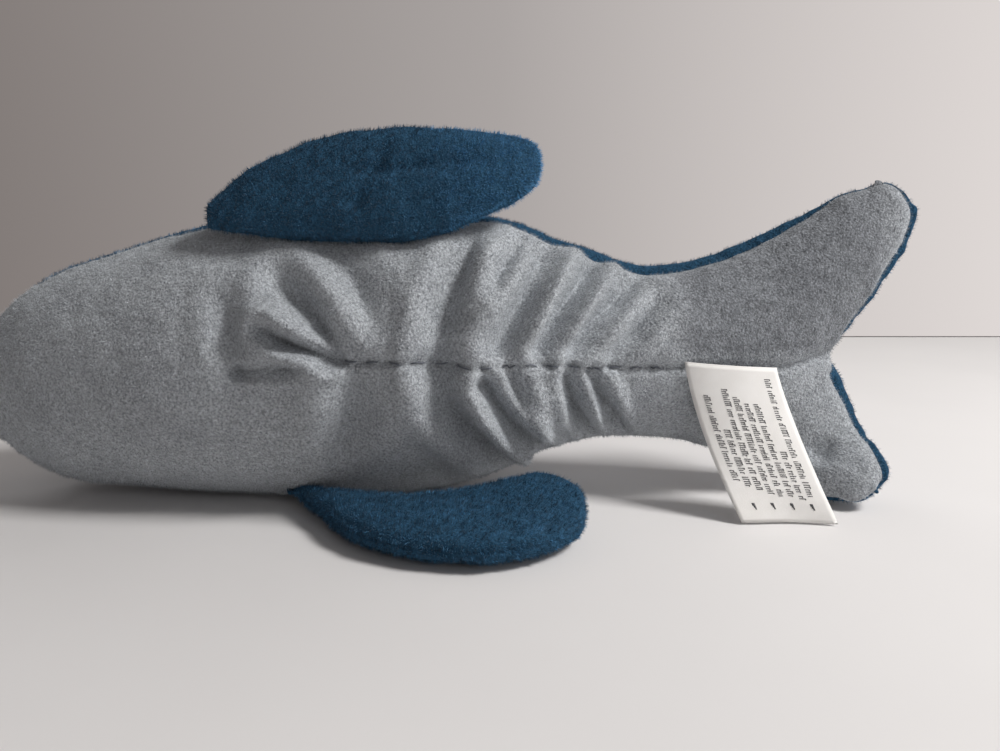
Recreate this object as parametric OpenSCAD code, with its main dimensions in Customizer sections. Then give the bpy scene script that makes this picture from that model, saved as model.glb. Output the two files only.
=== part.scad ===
// Plush shark, lying on its right side. X runs from snout to tail, Z from the toy's right side up to its
// left side, -Y is the belly side and +Y the back. The origin is at the middle of its base, and Z = 0 is
// the surface that it lies on.

/* [Body] */
// Length from the tip of the snout to the ends of the tail flukes
body_length = 231; // [200:1:280]
// Widest distance between the two side seams
body_width = 64; // [54:1:74]
// Depth of the belly below the side seams, where it is deepest
belly_depth = 27; // [22:1:33]
// Depth of the back above the side seams, where it is deepest
back_depth = 30; // [24:1:36]
// Thickness of the plush cloth with its pile pressed down
cloth = 1.6; // [1:0.1:2.2]
// How much the plush is flattened where it lies on a surface
squash = 0.8; // [0.4:0.1:1.5]

/* [Tail] */
// Length from the bend of the tail stock to the ends of the flukes
tail_length = 63; // [53:1:76]
// Depth of the tail stock at its bend
stock_depth = 28; // [23:1:34]
// Distance between the tips of the flukes, laid flat
fluke_span = 79; // [66:1:95]
// Rounding of the flukes' rear edge
fluke_edge = 7; // [5:0.5:9]
// How far the lower fluke is folded towards the belly where it lies on the surface, in degrees
fluke_fold = 60; // [50:1:66]
// Distance from the tail's middle line to the start of that fold
fold_start = 13; // [11:0.5:15]
// Length of fluke that the fold takes up
fold_length = 10; // [8:0.5:13]
// Slant of the fold across the fluke, in degrees
fold_slant = 28; // [20:1:34]
// How far the tail bends to each side, in degrees
tail_bend = 30; // [15:1:35]

/* [Pectoral fins] */
// Length of a pectoral fin
fin_length = 69; // [58:1:83]
// Width across a pectoral fin
fin_chord = 27; // [22:0.5:32]
// Thickness of a stuffed pectoral fin
fin_thickness = 8; // [6.6:0.2:8.4]
// Radius of the fin's rolled root, which turns in its seam
root_radius = 5.3; // [5:0.1:5.8]
// Distance from the snout to the front of the left fin's root
left_root = 77; // [66:1:86]
// Distance from the snout to the front of the right fin's root
right_root = 86; // [76:1:92]
// Slope of the raised left fin from the back towards the belly, in degrees
left_fin_slope = 67; // [60:1:80]

/* [Dorsal fin] */
// Length of the dorsal fin's base
dorsal_base = 40; // [33:1:48]
// Height of the dorsal fin
dorsal_height = 30.2; // [25:0.2:38]
// Thickness of the dorsal fin at its base
dorsal_thickness = 6.4; // [5:0.2:8]
// Space under the dorsal fin, in which its root turns
dorsal_lift = 0.8; // [0.4:0.1:1.2]
// Distance from the snout to the front of the dorsal fin
dorsal_place = 84; // [76:1:94]

/* [Care label] */
// Width of the woven ribbon
label_width = 20; // [16:0.5:24]
// Thickness of the folded ribbon, both layers together
label_thickness = 0.9; // [0.6:0.1:1.2]
// Distance from the bend of the tail to the label
label_place = 8.5; // [6:0.5:11]

/* [Eyes and thread] */
// Diameter of a plastic eye
eye_diameter = 7; // [5:0.5:9]
// Diameter of the stem behind an eye
eye_stem = 2.2; // [1.6:0.2:3]
// Length of an eye's stem behind the cloth's face
eye_stem_length = 5; // [4:0.5:7]
// Thickness of the washer that holds an eye
washer_thickness = 0.8; // [0.6:0.1:1.2]
// Distance from the snout to the eyes
eye_place = 34; // [30:1:40]
// Diameter of the sewing thread
thread = 0.8; // [0.5:0.1:1.1]
// Distance from one closing stitch to the next
stitch_pitch = 4.2; // [3.4:0.2:5.2]

/* [Fit] */
// Space between pieces that move past each other
running_gap = 0.35; // [0.3:0.05:0.6]
// Space between the cloth and the filling in it
filling_gap = 0.3; // [0.2:0.05:0.5]

/* [Hidden] */

GREY = "#aab4bf";
BLUE = "#3d6d92";
WHITE = "#eceae6";
DARK = "#55606c";

snout_x = -body_length / 2;
bend_x = body_length / 2 - tail_length;
half_span = fluke_span / 2;
// The cloth at the bend leans back by half the bend and a little more
BEND_SPARE = 1.5;
stock_slope = tan(tail_bend / 2 + BEND_SPARE);

// Shares of the body's length and of half its width
WIDTH = [
    [0, 0.09], [0.026, 0.24], [0.051, 0.33], [0.085, 0.455], [0.128, 0.69],
    [0.162, 0.8], [0.231, 0.9], [0.299, 0.975], [0.385, 1], [0.487, 1],
    [0.583, 0.944], [0.641, 0.78], [0.684, 0.69], [0.731, 0.634], [1, 0.634]
];
// Shares of the body's length and of the greatest depths
BELLY = [
    [0, 0.09], [0.051, 0.3], [0.128, 0.62], [0.162, 0.74], [0.231, 0.88], [0.299, 0.96], [0.385, 1],
    [0.487, 1], [0.583, 0.92], [0.641, 0.74], [0.684, 0.59], [0.731, 0.519], [1, 0.519]
];
BACK = [
    [0, 0.09], [0.051, 0.34], [0.128, 0.66], [0.162, 0.76], [0.231, 0.89], [0.299, 0.97], [0.385, 1],
    [0.487, 0.97], [0.583, 0.86], [0.641, 0.67], [0.684, 0.54], [0.731, 0.467], [1, 0.467]
];
// Shares of the body's length, and heights of the lower side above the surface
RISE = [
    [0, 21], [0.085, 11], [0.128, 3.4], [0.162, 0.6], [0.214, -squash], [0.46, -squash], [0.53, 0.6],
    [0.583, 4.2], [0.641, 10], [0.684, 12.6], [0.731, 12.7], [1, 12.7]
];
// Shares of half the flukes' span and of the tail's length
FLUKE_FRONT = [
    [0.51, 0.02], [0.557, 0.22], [0.62, 0.33], [0.7, 0.43], [0.81, 0.55], [0.924, 0.66], [1, 0.8]
];
FLUKE_REAR = [
    [0, 0.72], [0.18, 0.81], [0.35, 0.885], [0.557, 0.955],
    [0.7, 0.985], [0.81, 1], [0.924, 0.98], [1, 0.92]
];
// Shares of the tail's length and of half the flukes' span
FLUKE_SIDE = [
    [0, 0.511], [0.08, 0.515], [0.22, 0.557], [0.43, 0.7],
    [0.55, 0.81], [0.66, 0.924], [0.8, 1], [1, 1.07]
];
// Shares of the tail's length and of half the stock's depth
TAIL_DEPTH = [[0, 1], [0.1, 1], [0.235, 0.84], [0.44, 0.66], [0.625, 0.52], [0.78, 0.44], [1, 0.36]];
// Shares of a fin's length and of its chord or thickness
FIN_INNER = [
    [0, -0.02], [0.175, -0.07], [0.386, -0.12], [0.568, -0.135], [0.718, -0.055], [0.87, 0.14], [1, 0.36]
];
FIN_OUTER = [
    [0, 0.06], [0.1, 0.4], [0.25, 0.69], [0.36, 0.8], [0.568, 0.87], [0.778, 0.81], [0.93, 0.7], [1, 0.52]
];
FIN_DEPTH = [[0, 0.35], [0.13, 0.8], [0.35, 1], [0.7, 1], [0.9, 0.75], [1, 0.35]];
// Shares of the dorsal fin's height and of its base or thickness
DORSAL_FRONT = [[0, 0], [0.3, 0.16], [0.6, 0.4], [0.85, 0.68], [1, 0.92]];
DORSAL_REAR = [[0, 1], [0.3, 0.93], [0.6, 0.96], [0.85, 1.05], [1, 1.08]];
DORSAL_DEPTH = [[0, 1], [0.5, 0.85], [0.85, 0.6], [1, 0.35]];

// Smooth value at x through rows of [x, value]
function span_of(x, rows, i = 0) =
    (i >= len(rows) - 2 || x < rows[i + 1][0]) ? i : span_of(x, rows, i + 1);
function slope_at(rows, i) =
    let (a = max(i - 1, 0), b = min(i + 1, len(rows) - 1))
    (rows[b][1] - rows[a][1]) / (rows[b][0] - rows[a][0]);
function curve(x, rows) =
    let (
        i = span_of(x, rows),
        w = rows[i + 1][0] - rows[i][0],
        t = min(max((x - rows[i][0]) / w, 0), 1),
        s = t * t * (3 - 2 * t)
    )
    rows[i][1] * (1 - s) + rows[i + 1][1] * s
    + w * t * (1 - t) * (slope_at(rows, i) * (1 - t) - slope_at(rows, i + 1) * t);
// Quarter-round edge: 0 at t = 0 and 1 from t = 1 on
function rounded(t) = sqrt(max(0, 1 - pow(1 - min(max(t, 0), 1), 2)));
function dome(t) = sqrt(max(0, 1 - t * t));

// The toy is centred between the front of the fin that lies on the surface and the tip of the dorsal fin
ROOT_TUCK = 5;
right_fin_y = belly_depth - ROOT_TUCK;
belly_reach = right_fin_y + max([for (row = FIN_OUTER) row[1]]) * fin_chord;
dorsal_y = back_depth + running_gap + dorsal_lift;
back_reach = dorsal_y + dorsal_height;
seam_y = (belly_reach - back_reach) / 2;

function share(x) = (x - snout_x) / body_length;
function half_width(x) = body_width / 2 * curve(share(x), WIDTH);
function depth(x, side) =
    side < 0
        ? min(max(belly_depth * curve(share(x), BELLY), 0), belly_depth)
        : min(max(back_depth * curve(share(x), BACK), 0), back_depth);
function middle_z(x) = half_width(x) + curve(share(x), RISE);

// A point of the body: turn runs from -90 at the right side seam to 90 at the left one
function body_point(x, turn, side, inset, at) =
    let (w = half_width(at) - inset, d = depth(at, side) - inset)
    [x, seam_y + side * d * cos(turn), max(middle_z(at) + w * sin(turn), inset)];
BODY_RINGS = 24;
LAST_RING_SPACE = 3;
last_ring_x = bend_x - stock_depth / 2 * stock_slope - LAST_RING_SPACE;
// The rings are closer together towards the snout
RING_EVENNESS = 0.35;
function ring_x(i) =
    let (u = i / (BODY_RINGS - 1))
    snout_x + (last_ring_x - snout_x) * (RING_EVENNESS * u + (1 - RING_EVENNESS) * u * u);
function body_row(i, from, to, steps, side, inset) =
    let (x = ring_x(i) + (i == 0 ? inset : 0))
    [for (k = [0:steps]) body_point(x, from + (to - from) * k / steps, side, inset, ring_x(i))];
// The last ring leans back on both sides of the bend's axis, so that the tail can turn
function bend_row(from, to, steps, side, inset, hand) =
    [for (k = [0:steps])
        let (
            turn = from + (to - from) * k / steps,
            w = half_width(bend_x) - inset,
            d = stock_depth / 2 - inset
        )
        [
            bend_x + hand * (running_gap / 2 + d * cos(turn) * stock_slope),
            seam_y + side * d * cos(turn),
            middle_z(bend_x) + w * sin(turn)
        ]];
function body_grid(from, to, steps, side, inset) =
    concat(
        [for (i = [0:BODY_RINGS - 1]) body_row(i, from, to, steps, side, inset)],
        [bend_row(from, to, steps, side, inset, -1)]
    );

// A point of the tail: s is the distance from its middle line, c runs from the front to the rear edge
stock_half = half_width(bend_x);
function side_at(x) = half_span * curve((x - bend_x) / tail_length, FLUKE_SIDE);
function tail_half_depth(x) = stock_depth / 2 * curve((x - bend_x) / tail_length, TAIL_DEPTH);
function stock_share(s, inset) = dome(min(1, abs(s) / (stock_half - inset)));
function front_x(s, inset) =
    abs(s) < stock_half - inset
        ? bend_x + running_gap / 2 + (stock_depth / 2 - inset) * stock_share(s, inset) * stock_slope
        : bend_x + tail_length * curve(abs(s) / half_span, FLUKE_FRONT) + inset;
function rear_x(s, inset) = bend_x + tail_length * curve(abs(s) / half_span, FLUKE_REAR) - inset;
function tail_height(x, s, inset) =
    max(0, tail_half_depth(x) - inset)
    * dome(min(1, abs(s) / (side_at(x) - inset)))
    * rounded((rear_x(s, inset) - x) / fluke_edge);
function chord_height(x, s, c, inset) =
    c == 0 ? (stock_depth / 2 - inset) * stock_share(s, inset) : c == 1 ? 0 : tail_height(x, s, inset);
// The lower fluke is bent towards the belly on an arc, and is straight past it. The fold's line is slanted,
// so that it starts farther out on the fluke's front edge than at its rear edge.
fold_x = bend_x + FLUKE_REAR[0][1] * tail_length;
function fold_reach(x, s) = (x - fold_x) * sin(fold_slant) - s * cos(fold_slant) - fold_start;
function folded(x, y, s) =
    let (
        out = max(0, fold_reach(x, s)),
        turned = fluke_fold * min(1, out / fold_length),
        radius = fold_length / (fluke_fold * PI / 180),
        rest = max(0, out - fold_length),
        inward = out - radius * sin(turned) - rest * cos(turned) - y * sin(turned),
        aside = radius * (1 - cos(turned)) + rest * sin(turned)
    )
    [
        x - inward * sin(fold_slant),
        seam_y - aside + y * cos(turned),
        middle_z(bend_x) + s + inward * cos(fold_slant)
    ];
function tail_point(s, c, side, inset) =
    let (
        kept = s * (half_span - inset) / half_span,
        front = front_x(kept, inset),
        rear = rear_x(kept, inset),
        x = front + (rear - front) * sin(90 * c)
    )
    folded(x, side * chord_height(x, kept, c, inset), kept);
CHORD_STEPS = 8;
function stock_ribs(steps) = [for (k = [-steps:steps]) stock_half * sin(90 * k / steps)];
FLUKE_RIBS = [for (k = [1:7]) stock_half + (half_span - stock_half) * sin(90 * k / 7)];
RIBS = concat([for (k = [6:-1:0]) -FLUKE_RIBS[k]], stock_ribs(7), FLUKE_RIBS);
LEFT_RIBS = [for (s = RIBS) if (s >= -0.001) s];
RIGHT_RIBS = [for (s = RIBS) if (s <= 0.001) s];
function tail_grid(ribs, side, inset) =
    [for (s = ribs) [for (k = [0:CHORD_STEPS]) tail_point(s, k / CHORD_STEPS, side, inset)]];
// One closed loop of the tail's filling, which has a ridge at the bend and keeps farther from the cloth than
// the body's filling does, because its edges are thin
TAIL_EASE = 1;
EDGE_HALF = 0.2;
NOSE_LENGTH = 0.4;
STOCK_MARGIN = 0.5;
function tail_loop(s, inset) =
    let (
        kept = s * (half_span - inset) / half_span,
        in_stock = abs(kept) < stock_half - inset - STOCK_MARGIN,
        front = front_x(kept, inset),
        rear = rear_x(kept, inset),
        nose = in_stock ? bend_x + running_gap / 2 : front - NOSE_LENGTH
    )
    concat(
        [folded(nose, 0, kept)],
        [for (k = [0:CHORD_STEPS - 1])
            let (c = k / CHORD_STEPS, x = front + (rear - front) * sin(90 * c))
            folded(x, -max(EDGE_HALF, chord_height(x, kept, c, inset)), kept)],
        [folded(rear, 0, kept)],
        [for (k = [CHORD_STEPS - 1:-1:0])
            let (c = k / CHORD_STEPS, x = front + (rear - front) * sin(90 * c))
            folded(x, max(EDGE_HALF, chord_height(x, kept, c, inset)), kept)]
    );

// A fin's half skin in its own frame: x runs along the fin, y across it and z through it
LEAST_CHORD = 0.4;
LEAST_HALF = 0.3;
function fin_row(u, size, rows, side, inset, steps) =
    let (
        length = size[0] - 2 * inset,
        low = size[1] * curve(u, rows[0]) + inset,
        high = max(low + LEAST_CHORD, size[1] * curve(u, rows[1]) - inset),
        half = max(LEAST_HALF, size[2] / 2 * curve(u, rows[2]) - inset)
    )
    [for (k = [0:steps])
        let (turn = 180 * k / steps)
        [
            inset + u * length,
            (low + high) / 2 - (high - low) / 2 * cos(turn),
            side * half * pow(sin(turn), FIN_FULLNESS)
        ]];
FIN_STEPS = 14;
FIN_FULLNESS = 0.72;
function fin_grid(size, rows, side, inset, steps = 8) =
    [for (i = [0:FIN_STEPS])
        fin_row((1 - cos(180 * i / FIN_STEPS)) / 2, size, rows, side, inset, steps)];
function loops_of(upper, lower) =
    [for (i = [0:len(upper) - 1])
        concat(upper[i], [for (k = [len(lower[i]) - 2:-1:1]) lower[i][k]])];

// Closed sheet between two grids of points
module sheet(outer, inner, flip = false) {
    rows = len(outer);
    cols = len(outer[0]);
    shift = rows * cols;
    points = concat([for (row = outer) each row], [for (row = inner) each row]);
    function at(i, j) = i * cols + j;
    function quad(a, b, c, d) = flip ? [[a, c, b], [a, d, c]] : [[a, b, c], [a, c, d]];
    skins = [for (i = [0:rows - 2]) for (j = [0:cols - 2]) each concat(
        quad(at(i, j), at(i, j + 1), at(i + 1, j + 1), at(i + 1, j)),
        quad(shift + at(i, j), shift + at(i + 1, j), shift + at(i + 1, j + 1), shift + at(i, j + 1))
    )];
    sides = [for (i = [0:rows - 2]) each concat(
        quad(at(i, 0), at(i + 1, 0), shift + at(i + 1, 0), shift + at(i, 0)),
        quad(at(i + 1, cols - 1), at(i, cols - 1), shift + at(i, cols - 1), shift + at(i + 1, cols - 1))
    )];
    ends = [for (j = [0:cols - 2]) each concat(
        quad(at(0, j + 1), at(0, j), shift + at(0, j), shift + at(0, j + 1)),
        quad(at(rows - 1, j), at(rows - 1, j + 1), shift + at(rows - 1, j + 1), shift + at(rows - 1, j))
    )];
    polyhedron(points, concat(skins, sides, ends), convexity = 6);
}

// Solid through closed loops of points, with caps given as lists of indices into the first and last loop
module plug(loops, first_caps, last_caps, flip = false) {
    rows = len(loops);
    cols = len(loops[0]);
    points = [for (row = loops) each row];
    function at(i, j) = i * cols + j % cols;
    function turned(face) = flip ? [for (k = [len(face) - 1:-1:0]) face[k]] : face;
    walls = [for (i = [0:rows - 2]) for (j = [0:cols - 1]) each [
        turned([at(i, j), at(i, j + 1), at(i + 1, j + 1)]),
        turned([at(i, j), at(i + 1, j + 1), at(i + 1, j)])
    ]];
    starts = [for (cap = first_caps) turned([for (k = [len(cap) - 1:-1:0]) cap[k]])];
    finishes = [for (cap = last_caps) turned([for (k = cap) at(rows - 1, k)])];
    polyhedron(points, concat(walls, starts, finishes), convexity = 6);
}

// Round strand of thread from a to b
module strand(a, b) {
    run = b - a;
    length = norm(run);
    translate(a)
        rotate([0, acos(run.z / length), atan2(run.y, run.x)])
            cylinder(h = length, d = thread, $fn = 16);
}

BELLY_STEPS = 12;
BACK_STEPS = 6;
module belly_panel() {
    color(GREY) sheet(
        body_grid(-90, 90, BELLY_STEPS, -1, 0),
        body_grid(-90, 90, BELLY_STEPS, -1, cloth)
    );
}
module back_panel(from, to) {
    color(BLUE) sheet(
        body_grid(from, to, BACK_STEPS, 1, 0),
        body_grid(from, to, BACK_STEPS, 1, cloth),
        flip = true
    );
}
module back_panel_left() { back_panel(0, 90); }
module back_panel_right() { back_panel(-90, 0); }
module body_filling() {
    inset = cloth + filling_gap;
    loops = loops_of(
        body_grid(-90, 90, BELLY_STEPS, -1, inset),
        body_grid(-90, 90, BELLY_STEPS, 1, inset)
    );
    count = 2 * BELLY_STEPS;
    color(WHITE) plug(
        loops,
        [[for (k = [0:count - 1]) k]],
        [[for (k = [0:BELLY_STEPS]) k], [for (k = [BELLY_STEPS:count]) k % count]]
    );
}

module tail_belly_panel() {
    color(GREY) sheet(tail_grid(RIBS, -1, 0), tail_grid(RIBS, -1, cloth), flip = true);
}
module tail_back_panel_left() {
    color(BLUE) sheet(tail_grid(LEFT_RIBS, 1, 0), tail_grid(LEFT_RIBS, 1, cloth));
}
module tail_back_panel_right() {
    color(BLUE) sheet(tail_grid(RIGHT_RIBS, 1, 0), tail_grid(RIGHT_RIBS, 1, cloth));
}
module tail_filling() {
    inset = cloth + filling_gap + TAIL_EASE;
    loops = [for (s = RIBS) tail_loop(s, inset)];
    all_of_it = [for (k = [0:2 * CHORD_STEPS + 1]) k];
    color(WHITE) plug(loops, [all_of_it], [all_of_it], flip = true);
}

FIN_SIZE = [fin_length, fin_chord, fin_thickness];
FIN_ROWS = [FIN_INNER, FIN_OUTER, FIN_DEPTH];
module fin_cloth(side) {
    color(BLUE) sheet(
        fin_grid(FIN_SIZE, FIN_ROWS, side, 0),
        fin_grid(FIN_SIZE, FIN_ROWS, side, cloth),
        flip = side < 0
    );
}
module fin_core(size, rows) {
    inset = cloth + filling_gap;
    loops = loops_of(fin_grid(size, rows, -1, inset), fin_grid(size, rows, 1, inset));
    around = [for (k = [0:len(loops[0]) - 1]) k];
    color(WHITE) plug(loops, [around], [around], flip = true);
}
left_fin_x = snout_x + left_root;
right_fin_x = snout_x + right_root;
FIN_LIFT = 0.3;
right_fin_z = fin_thickness / 2 + FIN_LIFT;
// The left fin's root lies along the belly's upper side, part of the way out from the side seam
ROOT_SHARE = 0.56;
ROOT_NEAREST = 15;
ROOT_SINK = 0.6;
left_fin_y = seam_y - belly_depth * ROOT_SHARE;
left_fin_z = middle_z(left_fin_x + ROOT_NEAREST) + body_width / 2 * dome(ROOT_SHARE)
    + root_radius + running_gap - ROOT_SINK;
module at_left_fin() {
    translate([left_fin_x, left_fin_y, left_fin_z]) rotate([left_fin_slope, 0, 0]) children();
}
module at_right_fin() {
    translate([right_fin_x, seam_y - right_fin_y, right_fin_z]) rotate([180, 0, 0]) children();
}
module left_fin_front_cloth() { at_left_fin() fin_cloth(1); }
module left_fin_rear_cloth() { at_left_fin() fin_cloth(-1); }
module left_fin_filling() { at_left_fin() fin_core(FIN_SIZE, FIN_ROWS); }
module right_fin_floor_cloth() { at_right_fin() fin_cloth(1); }
module right_fin_top_cloth() { at_right_fin() fin_cloth(-1); }
module right_fin_filling() { at_right_fin() fin_core(FIN_SIZE, FIN_ROWS); }

DORSAL_SIZE = [dorsal_height, dorsal_base, dorsal_thickness];
DORSAL_ROWS = [DORSAL_FRONT, DORSAL_REAR, DORSAL_DEPTH];
dorsal_x = snout_x + dorsal_place;
module at_dorsal_fin() {
    translate([dorsal_x, seam_y + dorsal_y, middle_z(dorsal_x + dorsal_base / 2)])
        multmatrix([[0, 1, 0, 0], [1, 0, 0, 0], [0, 0, 1, 0], [0, 0, 0, 1]])
            children();
}
module dorsal_cloth(side) {
    color(BLUE) sheet(
        fin_grid(DORSAL_SIZE, DORSAL_ROWS, side, 0),
        fin_grid(DORSAL_SIZE, DORSAL_ROWS, side, cloth),
        flip = side < 0
    );
}
module dorsal_fin_left_cloth() { at_dorsal_fin() dorsal_cloth(1); }
module dorsal_fin_right_cloth() { at_dorsal_fin() dorsal_cloth(-1); }
module dorsal_fin_filling() { at_dorsal_fin() fin_core(DORSAL_SIZE, DORSAL_ROWS); }

// Eyes sit just above the side seams, square to the cloth
EYE_TURN = 52;
module at_eye(hand) {
    x = snout_x + eye_place;
    turn = hand * EYE_TURN;
    here = body_point(x, turn, 1, 0, x);
    next = body_point(x, turn + 1, 1, 0, x);
    ahead = body_point(x + 1, turn, 1, 0, x + 1);
    out = cross(next - here, ahead - here);
    way = out / norm(out);
    translate(here) rotate([0, acos(way.z), atan2(way.y, way.x)]) children();
}
module eye() {
    rim = 0.2;
    color("#15171a") {
        translate([0, 0, rim]) intersection() {
            scale([1, 1, 0.72]) sphere(d = eye_diameter, $fn = 48);
            cylinder(h = eye_diameter, d = 2 * eye_diameter, $fn = 48);
        }
        translate([0, 0, -eye_stem_length]) cylinder(h = eye_stem_length + rim + 0.5, d = eye_stem, $fn = 32);
    }
}
module eye_washer() {
    color(WHITE) translate([0, 0, -cloth - filling_gap - 1 - washer_thickness]) difference() {
        cylinder(h = washer_thickness, d = eye_diameter, $fn = 48);
        translate([0, 0, -1]) cylinder(h = washer_thickness + 2, d = eye_stem, $fn = 32);
    }
}
module left_eye() { at_eye(1) eye(); }
module right_eye() { at_eye(-1) eye(); }
module left_eye_washer() { at_eye(1) eye_washer(); }
module right_eye_washer() { at_eye(-1) eye_washer(); }

THREAD_GAP = 0.4;
STITCH_SPACE = 0.25;
thread_rise = thread / 2 + THREAD_GAP;
// The mouth is a curved row of stitches under the snout
MOUTH_TURN = 54;
MOUTH_STITCHES = 6;
MOUTH_PLACE = 9;
MOUTH_CURVE = 6;
module mouth_thread() {
    function mouth_point(k) =
        let (
            turn = MOUTH_TURN * (2 * k / MOUTH_STITCHES - 1),
            x = snout_x + MOUTH_PLACE + MOUTH_CURVE * pow(turn / MOUTH_TURN, 2)
        )
        body_point(x, turn, -1, -thread_rise, x);
    color(DARK) for (k = [0:MOUTH_STITCHES - 1])
        strand(mouth_point(k + STITCH_SPACE / 2), mouth_point(k + 1 - STITCH_SPACE / 2));
}

// The belly's middle seam is closed by hand from behind the chest to just before the bend
CLOSING_SHARE = 0.345;
closing_start = snout_x + CLOSING_SHARE * body_length;
closing_end = last_ring_x - thread;
module closing_thread() {
    function seam_point(x) = body_point(x, 0, -1, -thread_rise, x);
    count = floor((closing_end - closing_start) / stitch_pitch);
    color(DARK) for (k = [0:count - 1]) {
        x = closing_start + k * stitch_pitch;
        strand(seam_point(x), seam_point(x + (1 - STITCH_SPACE) * stitch_pitch));
    }
}

// The care label is sewn into the belly's middle seam and hangs down to the surface
label_x = bend_x + label_place;
label_top = middle_z(bend_x) - label_thickness;
label_foot = 0.3;
LABEL_DRIFT = 11;
LABEL_SWING = 9.5;
LABEL_CURVE = 1.3;
LABEL_CLEAR = 0.6;
LABEL_STEPS = 8;
module care_label() {
    root_y = seam_y - tail_half_depth(label_x) - LABEL_CLEAR;
    function label_row(t, back) = [for (j = [0:2]) [
        label_x + label_width * j / 2 + LABEL_DRIFT * t,
        root_y - LABEL_SWING * pow(t, LABEL_CURVE) + back,
        label_top + (label_foot - label_top) * t
    ]];
    color(WHITE) sheet(
        [for (i = [0:LABEL_STEPS]) label_row(i / LABEL_STEPS, -label_thickness)],
        [for (i = [0:LABEL_STEPS]) label_row(i / LABEL_STEPS, 0)]
    );
}

belly_panel();
back_panel_left();
back_panel_right();
body_filling();
tail_belly_panel();
tail_back_panel_left();
tail_back_panel_right();
tail_filling();
left_fin_front_cloth();
left_fin_rear_cloth();
left_fin_filling();
right_fin_top_cloth();
right_fin_floor_cloth();
right_fin_filling();
dorsal_fin_left_cloth();
dorsal_fin_right_cloth();
dorsal_fin_filling();
left_eye();
right_eye();
left_eye_washer();
right_eye_washer();
mouth_thread();
closing_thread();
care_label();
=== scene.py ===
import math

import bmesh
import bpy
import numpy as np
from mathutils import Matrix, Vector
from mathutils.bvhtree import BVHTree
from mathutils.kdtree import KDTree


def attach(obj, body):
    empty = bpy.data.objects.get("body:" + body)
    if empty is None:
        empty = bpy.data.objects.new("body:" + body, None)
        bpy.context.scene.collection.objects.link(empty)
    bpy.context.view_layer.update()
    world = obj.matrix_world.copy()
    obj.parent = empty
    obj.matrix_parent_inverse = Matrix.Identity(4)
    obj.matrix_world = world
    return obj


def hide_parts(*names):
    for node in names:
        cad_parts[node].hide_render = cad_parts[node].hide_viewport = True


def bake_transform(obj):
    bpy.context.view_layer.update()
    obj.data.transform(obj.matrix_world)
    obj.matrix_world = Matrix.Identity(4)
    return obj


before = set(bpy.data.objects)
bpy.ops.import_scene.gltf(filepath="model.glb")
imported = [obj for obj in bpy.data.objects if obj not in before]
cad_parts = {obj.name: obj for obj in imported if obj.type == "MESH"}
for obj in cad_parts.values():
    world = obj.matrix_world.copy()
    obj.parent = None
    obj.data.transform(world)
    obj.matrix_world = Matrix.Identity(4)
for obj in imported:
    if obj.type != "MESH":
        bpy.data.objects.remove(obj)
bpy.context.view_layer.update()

scene = bpy.context.scene
MM = 0.001

# ---- sizes, in millimetres, as in part.scad
SNOUT_X = -115.5
BODY_LENGTH = 231.0
BEND_X = 52.5
TAIL_LENGTH = 63.0
HALF_SPAN = 39.5
SEAM_Y = -7.93
STOCK_Z = 33.03
STOCK_HALF = 20.3
STOCK_DEPTH = 14.0
HALF_WIDTH = 32.0
BELLY = 27.0
BACK = 30.0
FOLD_ANGLE = math.radians(60)
FOLD_SLANT = math.radians(28)
FOLD_START = 13.0
FOLD_LENGTH = 10.0
NOTCH_X = BEND_X + 0.72 * TAIL_LENGTH
# How far from the tail's trailing edge its faces start to round off
EDGE_ROUND = 7.0
# Cloth and pressed pile of the visual pieces
WALL = 1.0

# Shares of the body's length, then shares of half width, belly depth and back depth, and the rise in mm
WIDTH_ROWS = [
    (0, 0.09), (0.026, 0.24), (0.051, 0.33), (0.085, 0.455), (0.128, 0.69), (0.162, 0.79), (0.231, 0.885),
    (0.299, 0.965), (0.385, 0.995), (0.487, 1), (0.583, 0.944), (0.641, 0.78), (0.684, 0.69), (0.731, 0.634),
    (1, 0.634),
]
BELLY_ROWS = [
    (0, 0.09), (0.051, 0.3), (0.128, 0.62), (0.162, 0.74), (0.231, 0.88), (0.299, 0.96), (0.385, 1),
    (0.487, 1), (0.583, 0.92), (0.641, 0.74), (0.684, 0.59), (0.731, 0.519), (1, 0.519),
]
BACK_ROWS = [
    (0, 0.09), (0.051, 0.34), (0.128, 0.66), (0.162, 0.76), (0.231, 0.89), (0.299, 0.97), (0.385, 1),
    (0.487, 0.97), (0.583, 0.86), (0.641, 0.67), (0.684, 0.54), (0.731, 0.467), (1, 0.467),
]
RISE_ROWS = [
    (0, 21), (0.085, 11.6), (0.128, 4.8), (0.162, 2.2), (0.214, 1.2), (0.3, 0.2), (0.46, -0.6), (0.53, 0.8),
    (0.583, 4.2), (0.641, 10), (0.684, 12.6), (0.731, 12.7), (1, 12.7),
]
FRONT_ROWS = [(0.51, 0.02), (0.557, 0.22), (0.62, 0.33), (0.7, 0.43), (0.81, 0.55), (0.924, 0.66), (1, 0.8)]
REAR_ROWS = [
    (0, 0.72), (0.18, 0.81), (0.35, 0.885), (0.557, 0.955), (0.7, 0.985), (0.81, 1), (0.924, 0.98), (1, 0.92),
]
SIDE_ROWS = [
    (0, 0.511), (0.08, 0.515), (0.22, 0.557), (0.43, 0.7), (0.55, 0.81), (0.66, 0.924), (0.8, 1), (1, 1.07),
]
TAIL_DEPTH_ROWS = [(0, 1), (0.1, 1), (0.235, 0.84), (0.44, 0.66), (0.625, 0.54), (0.78, 0.47), (1, 0.4)]


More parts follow.
